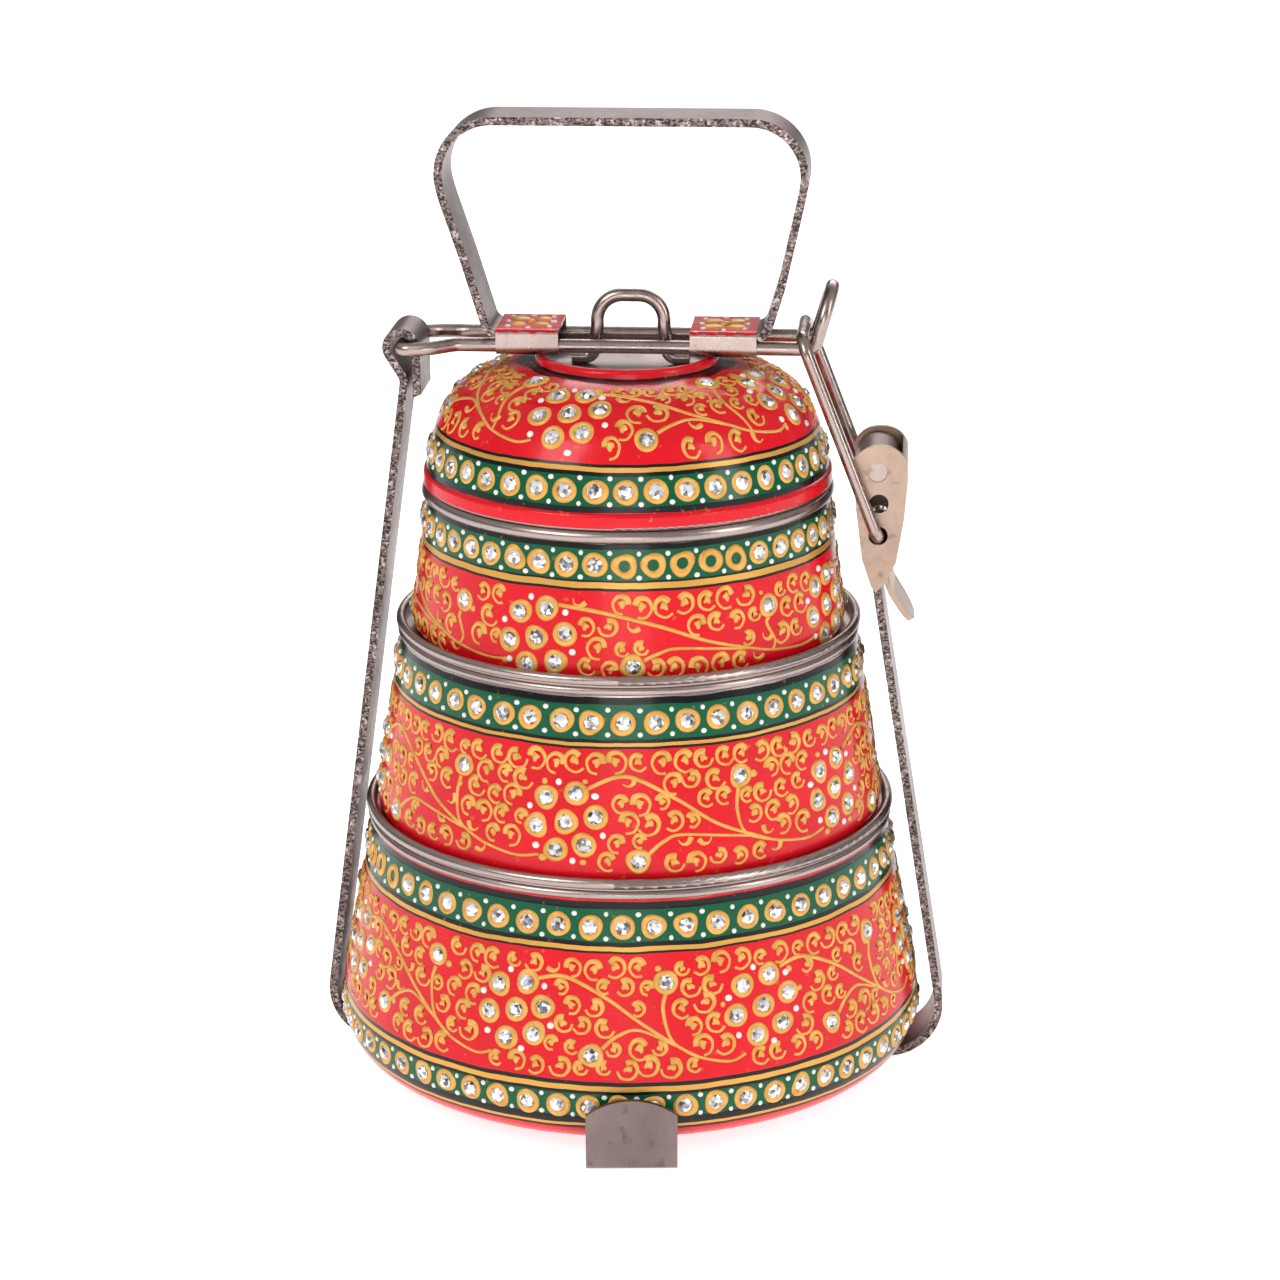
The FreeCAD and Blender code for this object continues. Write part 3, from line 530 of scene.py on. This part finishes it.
def stroke(builder, wall, azimuth, height, path, widths, tall=0.42):
    """Raised line of paint. path holds (u, v) in mm from the place (azimuth, height) on the wall, and
    widths the half width at each of its points."""
    profile = ((-1.0, -0.25), (-0.78, 0.6), (0.0, 1.0), (0.78, 0.6), (1.0, -0.25))
    sections = []
    for index, (u, v) in enumerate(path):
        place, normal = wall.at(azimuth + math.degrees(u / wall.radius(height)), height + v)
        before, after = path[max(index - 1, 0)], path[min(index + 1, len(path) - 1)]
        across, upward = tangent_frame(normal)
        along = across * (after[0] - before[0]) + upward * (after[1] - before[1])
        if along.length < 1e-9:
            along = across
        side = along.normalized().cross(normal)
        width = widths[index]
        crest = normal * tall * min(1.0, width * 1.3)
        sections.append([place + (side * offset * width + crest * rise) * MM
                         for offset, rise in profile])
    count = len(sections[0])
    points = [p for section in sections for p in section]
    faces = []
    for level in range(len(sections) - 1):
        for k in range(count - 1):
            a = level * count + k
            faces.append((a, a + 1, a + 1 + count, a + count))
    faces.append(tuple(range(count)))
    faces.append(tuple(reversed(range(len(points) - count, len(points)))))
    builder.add(points, faces)


def curve(points, steps):
    """Smooth Catmull-Rom line through the points."""
    ends = [points[0]] + points + [points[-1]]
    line = []
    for index in range(1, len(ends) - 2):
        a, b, c, d = (np.array(ends[index + k], float) for k in (-1, 0, 1, 2))
        for step in range(steps):
            s = step / steps
            line.append(tuple(0.5 * (2 * b + (c - a) * s + (2 * a - 5 * b + 4 * c - d) * s * s
                                     + (3 * b - a - 3 * c + d) * s ** 3)))
    line.append(tuple(points[-1]))
    return line


def turned_path(path, angle, scale, flip):
    """The path turned by angle and scaled, and mirrored first where flip is -1."""
    c, s = math.cos(angle), math.sin(angle)
    return [((u * flip * c - v * s) * scale, (u * flip * s + v * c) * scale) for u, v in path]


# Strokes of the brush, in mm round their middle: a hooked curl, the blob in its mouth and a short bow.
CURL = curve([(2.6, -2.3), (0.2, -3.2), (-2.4, -1.4), (-2.2, 1.6), (0.2, 2.8), (1.9, 1.3)], 3)
BLOB = curve([(-0.7, 0.9), (0.5, 0.1), (1.0, -1.0)], 3)
SMILE = curve([(-2.6, 1.3), (-0.9, -0.9), (1.5, -0.8), (2.7, 1.0)], 3)


def swelling(path, thin, thick, peak):
    """Half widths that swell to thick at the share peak of the path."""
    last = len(path) - 1
    return [thin + (thick - thin) * max(0.0, 1 - abs(k / last - peak) / 0.6) for k in range(last + 1)]


def curl(builder, wall, azimuth, height, angle, scale, flip):
    """Curl that ends thick, with a blob in its mouth."""
    path = turned_path(CURL, angle, scale, flip)
    widths = swelling(path, 0.40, chance.uniform(0.85, 1.15), 0.95)
    stroke(builder, wall, azimuth, height, path, widths)
    blob = turned_path(BLOB, angle, scale, flip)
    widths = swelling(blob, 0.45, chance.uniform(1.0, 1.4), 0.25)
    stroke(builder, wall, azimuth, height, blob, widths, 0.5)


def comma(builder, wall, azimuth, height, angle, scale, flip):
    """Short bowed stroke that starts thick."""
    path = turned_path(SMILE, angle, scale, flip)
    stroke(builder, wall, azimuth, height, path, swelling(path, 0.22, 0.85, 0.15))


# Sizes of the ornament (mm): the bare ground a flower and a single stone keep round them, how far the
# white dots stand from a flower's centre, the margin of the vines to the borders, and the spacing of
# the curls along and across their rows.
FLOWER_REACH, SINGLE_REACH = 12.6, 4.9
DOT_REACH, DOT_TURN = 10.8, 42
VINE_MARGIN_TOP, VINE_MARGIN_BOTTOM = 3.0, 3.2
CURL_PITCH, ROW_PITCH, ROW_MARGIN = 6.0, 5.8, 3.2


def across_gap(first, second, around):
    """Signed distance (mm) from azimuth second to azimuth first along a circle of radius around."""
    return math.radians((first - second + 180) % 360 - 180) * around


def vine_lines(azimuth, height, width, top, bottom, singles, around):
    """The vine from one flower down to the next and the stems that join the single stones to it, as
    points (u, v) in mm from the flower at (azimuth, height). width is the way to the next flower."""
    main = [(6.0, 9.2), (width * 0.20, top * 0.78), (width * 0.36, top * 0.40),
            (width * 0.50, bottom * 0.12), (width * 0.64, bottom * 0.60),
            (width * 0.72, bottom * 0.84), (width * 0.84, bottom), (width - 6.5, bottom * 0.90)]
    lines = [main]
    for single_azimuth, single_height in singles:
        u = math.radians((single_azimuth - azimuth) % 360) * around
        v = single_height - height
        if u > width:
            continue
        if v > 0:
            lines.append([(u - 0.4, v - 3.2), (u - 1.2, v * 0.15), (u + 1.2, bottom * 0.5), main[5]])
        else:
            lines.append([(u + 2.8, v + 1.6), (u + 7.0, v * 0.5), (u + 13.0, v * 0.35), main[4]])
    return lines


def ornament(prefix, body, wall, low, high, flowers, singles):
    """Vines from flower to flower with curls filling the ground between low and high (mm)."""
    gold, white = Builder(), Builder()
    around = wall.radius((low + high) / 2)
    taken = [(azimuth, height, FLOWER_REACH) for azimuth, height in flowers]
    taken += [(azimuth, height, SINGLE_REACH) for azimuth, height in singles]
    flowers = sorted(flowers)
    stems = []
    for index, (azimuth, height) in enumerate(flowers):
        following, _ = flowers[(index + 1) % len(flowers)]
        width = math.radians((following - azimuth) % 360) * around
        top, bottom = high - height - VINE_MARGIN_TOP, low - height + VINE_MARGIN_BOTTOM
        for line in vine_lines(azimuth, height, width, top, bottom, singles, around):
            path = curve(line, 7)
            stroke(gold, wall, azimuth, height, path, swelling(path, 0.42, 0.62, 0.1), 0.45)
            stems += [(azimuth + math.degrees(u / around), height + v) for u, v in path]
        for petal in range(6):
            angle = math.radians(60 * petal + DOT_TURN)
            place = wall.at(azimuth + math.degrees(DOT_REACH * math.cos(angle) / around),
                            height + DOT_REACH * math.sin(angle))
            dot(white, *place, 0.95 * MM, 0.55 * MM)

    def clear(azimuth, height, margin):
        """Whether the place stays margin (mm) outside the reach of every flower and single stone."""
        return all(math.hypot(across_gap(azimuth, other, around), height - other_height) >= reach + margin
                   for other, other_height, reach in taken)

    def stem_distance(azimuth, height):
        return min(math.hypot(across_gap(azimuth, other, around), height - other_height)
                   for other, other_height in stems)

    rows = max(2, round((high - low) / ROW_PITCH))
    count = round(2 * math.pi * around / CURL_PITCH)
    for row in range(rows):
        level = low + ROW_MARGIN + (high - low - 2 * ROW_MARGIN) * row / (rows - 1)
        for k in range(count):
            azimuth = 360 * (k + (row % 2) * 0.5 + chance.uniform(-0.1, 0.1)) / count
            height = level + chance.uniform(-0.6, 0.6)
            if not clear(azimuth, height, 0.9):
                if clear(azimuth, height, -0.1) and stem_distance(azimuth, height) > 2.2:
                    curl(gold, wall, azimuth, height, chance.uniform(-0.8, 0.8), 0.58, 1)
                elif clear(azimuth, height, -0.7):
                    dot(gold, *wall.at(azimuth, height), chance.uniform(0.7, 1.1) * MM, 0.4 * MM)
                continue
            distance = stem_distance(azimuth, height)
            angle = chance.uniform(-0.8, 0.8)
            flip = chance.choice((-1, 1))
            if distance > 3.0:
                curl(gold, wall, azimuth, height, angle, chance.uniform(0.72, 0.95), flip)
            elif distance > 2.2:
                curl(gold, wall, azimuth, height, angle, 0.6, flip)
            elif distance > 1.5:
                comma(gold, wall, azimuth, height, angle, 0.7, flip)
    gold.piece(prefix + "_gold_relief", GOLD_PAINT, body)
    white.piece(prefix + "_white_dots", WHITE_PAINT, body)


FLOWER_SPAN = 9.6 * MM


def where(centre):
    """Azimuth in degrees from the front (-Y) towards +X, and height in mm."""
    return math.degrees(math.atan2(centre.x, -centre.y)), centre.z / MM


def dome_place(wall, centre):
    """Azimuth and arc height on the dome that come nearest to the point."""
    azimuth, _ = where(centre)
    heights = [0.25 * k for k in range(140)]
    return azimuth, min(heights, key=lambda height: (wall.at(azimuth, height)[0] - centre).length)


def find_flowers(stones):
    """Flower centres, the stones with six near neighbours, and singles, which are in no flower."""
    flowers, petals = [], set()
    for index, (centre, _) in enumerate(stones):
        near = [k for k, (other, _) in enumerate(stones)
                if k != index and (other - centre).length < FLOWER_SPAN]
        if len(near) >= 6:
            flowers.append(index)
            petals.update(near)
    singles = [k for k in range(len(stones)) if k not in flowers and k not in petals]
    return flowers, singles


GOLD_PAINT = gold_paint()
WHITE_PAINT = white_paint()
CRYSTAL = crystal()


def set_stones(node, body, wall, band_edge=None):
    """Replaces a CAD stone node with cut stones, and paints their rings. With band_edge, the stones are
    a row: rings are painted where stones are missing, and dots band_edge (mm) above and below."""
    stones = islands(node)
    gems, gold, white = Builder(), Builder(), Builder()
    for centre, normal in stones:
        cut_stone(gems, centre, normal)
        paint_ring(gold, centre, normal)
    if band_edge:
        azimuths = sorted(where(centre)[0] for centre, _ in stones)
        height = sum(centre.z for centre, _ in stones) / len(stones) / MM
        count = round(360 / min(b - a for a, b in zip(azimuths, azimuths[1:])))
        step = 360 / count
        for k in range(count):
            azimuth = azimuths[0] + step * k
            nearest = min(abs((azimuth - other + 180) % 360 - 180) for other in azimuths)
            if nearest > step / 2:
                place, normal = wall.at(azimuth, height)
                paint_ring(gold, place + normal * STONE_HEIGHT / 2, normal, 1.5)
            for offset in (-band_edge, band_edge):
                place = wall.at(azimuth + step / 2, height + offset + chance.uniform(-0.2, 0.2))
                dot(white, *place, 0.72 * MM, 0.42 * MM)
        white.piece(node + "_dots", WHITE_PAINT, body)
    gold.piece(node + "_rings", GOLD_PAINT, body)
    item = gems.piece(node + "_cut", CRYSTAL, body, "clear_stone", smooth=False)
    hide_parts(node)
    return stones


def decorate(name, wall, low, high, place_of):
    """Flower stones and the ornament round them between low and high (mm) on one piece's wall."""
    stones = set_stones(f"{name}_flower_stones", name, wall)
    flowers, singles = ([place_of(stones[k][0]) for k in group] for group in find_flowers(stones))
    ornament(name, name, wall, low, high, flowers, singles)


WALLS = {"bottom": Wall("bottom_container"), "middle": Wall("middle_container"),
         "top": Wall("top_container"), "lid": Wall("lid_shell")}
DOME = Wall("lid_shell", dome=True)
set_stones("base_band_stones", "bottom", WALLS["bottom"], 2.6)
for name in ("bottom", "middle", "top", "lid"):
    set_stones(f"{name}_band_stones", name, WALLS[name], 3.2)
for name, low, high in (("bottom", 25.3, 58.6), ("middle", 80.8, 114.0), ("top", 131.8, 155.6)):
    decorate(name, WALLS[name], low, high, where)
decorate("lid", DOME, DOME_LOW, DOME_HIGH, lambda centre: dome_place(DOME, centre))


# ---------------------------------------------------------------- painted tops of the clips
CLIP_RED = enamel("clip_enamel", CLIP_ZONES, 200.0, lid=True)


# The clip's upper edges are rounded by this radius, and a quarter turn of it is this long. The coat
# stands this far off the sheet, and ends this far short of the quarter turn.
CLIP_ROUND, CLIP_QUARTER = 1.5 * MM, 2.36 * MM
COAT_THICK, COAT_SHORT = 0.05 * MM, 1.0 * MM


def clip_paint(node):
    """Thin coat of red over the clip's top and upper edges, with a gold flower and white dots."""
    low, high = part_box(node)
    coat, gold, white = Builder(), Builder(), Builder()
    rows, columns = 26, 14
    flat = 2 * (high.y + 0.08 * MM) - 2 * CLIP_ROUND
    points = []
    for row in range(rows + 1):
        for column in range(columns + 1):
            x = low.x + (high.x - low.x) * column / columns
            ragged = 0.25 * MM * math.sin(column * 1.7) + chance.uniform(-0.1, 0.1) * MM
            total = flat + 2 * (CLIP_QUARTER - COAT_SHORT + ragged)
            along = (row / rows - 0.5) * total
            if abs(along) <= flat / 2:
                y, z = along, high.z + COAT_THICK
            else:
                turn = (abs(along) - flat / 2) / CLIP_ROUND
                y = math.copysign(flat / 2 + (CLIP_ROUND + 0.08 * MM) * math.sin(turn), along)
                z = high.z - CLIP_ROUND + (CLIP_ROUND + COAT_THICK) * math.cos(turn)
            points.append(Vector((x, y, z)))
    width = columns + 1
    faces = [(r * width + c, r * width + c + 1, (r + 1) * width + c + 1, (r + 1) * width + c)
             for r in range(rows) for c in range(columns)]
    coat.add(points, faces)
    coat.piece(node + "_paint", CLIP_RED, "bar")
    centre = Vector(((low.x + high.x) / 2, 0, high.z + 0.1 * MM))
    up = Vector((0, 0, 1))
    for k in range(4):
        angle = math.pi / 4 + math.pi / 2 * k
        petal = centre + Vector((math.cos(angle) * 4.6, math.sin(angle) * 5.2, 0)) * MM
        dot(gold, petal, up, 2.6 * MM, 0.5 * MM)
        tip = centre + Vector((math.cos(angle) * 8.2, math.sin(angle) * 9.0, 0)) * MM
        dot(white, tip, up, 0.75 * MM, 0.4 * MM)
    for x, y in ((6.4, 0), (-6.4, 0), (0, 8.3), (0, -8.3)):
        dot(white, centre + Vector((x, y, 0)) * MM, up, 0.85 * MM, 0.4 * MM)
    dot(gold, centre, up, 1.4 * MM, 0.7 * MM)
    gold.piece(node + "_flower", GOLD_PAINT, "bar")
    white.piece(node + "_dots", WHITE_PAINT, "bar")


clip_paint("left_clip")
clip_paint("right_clip")


# ---------------------------------------------------------------- stage, light and camera
FLOOR_SIZE, FLOOR_Z, FLOOR_GLOW = 60, -0.0002, 0.75


def area_light(name, place, target, size, power):
    data = bpy.data.lights.new(name, "AREA")
    data.shape = "RECTANGLE"
    data.size, data.size_y = size
    data.energy = power
    item = bpy.data.objects.new(name, data)
    bpy.context.scene.collection.objects.link(item)
    item.location = place
    item.rotation_euler = (Vector(target) - Vector(place)).to_track_quat("-Z", "Y").to_euler()


bpy.ops.mesh.primitive_plane_add(size=FLOOR_SIZE, location=(0, 0, FLOOR_Z))
floor = bpy.context.object
floor.name = "floor"
floor.data.materials.append(plain("floor_white", (0.88, 0.88, 0.88), 0.7))
floor_shader = floor.data.materials[0].node_tree.nodes["Principled BSDF"]
floor_shader.inputs["Emission Color"].default_value = (1, 1, 1, 1)
floor_shader.inputs["Emission Strength"].default_value = FLOOR_GLOW
area_light("key", (-0.9, -1.1, 1.2), (0, 0, 0.12), (0.7, 0.9), 11)
area_light("side", (1.2, -0.6, 0.7), (0, 0, 0.12), (0.4, 1.0), 6)
area_light("front", (0.1, -1.6, 0.35), (0, 0, 0.12), (0.7, 0.5), 3.5)
area_light("back", (0.2, 1.3, 1.0), (0, 0, 0.15), (1.0, 0.6), 6)
world = bpy.data.worlds.new("studio")
world.use_nodes = True
background = world.node_tree.nodes["Background"]
direction = world.node_tree.nodes.new("ShaderNodeTexCoord")
split = world.node_tree.nodes.new("ShaderNodeSeparateXYZ")
shade = world.node_tree.nodes.new("ShaderNodeValToRGB")
world.node_tree.links.new(direction.outputs["Generated"], split.inputs[0])
world.node_tree.links.new(split.outputs[2], shade.inputs[0])
world.node_tree.links.new(shade.outputs[0], background.inputs[0])
for element, (position, grey) in zip(shade.color_ramp.elements, ((0.02, 0.16), (0.60, 1.0))):
    element.position = position
    element.color = (grey, grey, grey, 1)
background.inputs[1].default_value = 0.50
bpy.context.scene.world = world
bpy.context.scene.view_settings.view_transform = "Standard"

CAMERA_TURN = math.radians(5.0)
ROLL = math.radians(-0.25)
camera_data = bpy.data.cameras.new("camera")
camera_data.lens = 95.9
camera_data.sensor_width = 36.0
camera = bpy.data.objects.new("camera", camera_data)
bpy.context.scene.collection.objects.link(camera)
spin = Matrix.Rotation(CAMERA_TURN, 3, "Z")
forward = (spin @ Vector((0.00329, 0.95470, -0.29756))).normalized()
level_right = forward.cross(Vector((0, 0, 1))).normalized()
level_up = level_right.cross(forward)
right = level_right * math.cos(ROLL) + level_up * math.sin(ROLL)
up = level_up * math.cos(ROLL) - level_right * math.sin(ROLL)
pose = Matrix((right, up, -forward)).transposed().to_4x4()
pose.translation = (0.0813, -0.9296, 0.4153)
camera.matrix_world = pose
bpy.context.scene.camera = camera
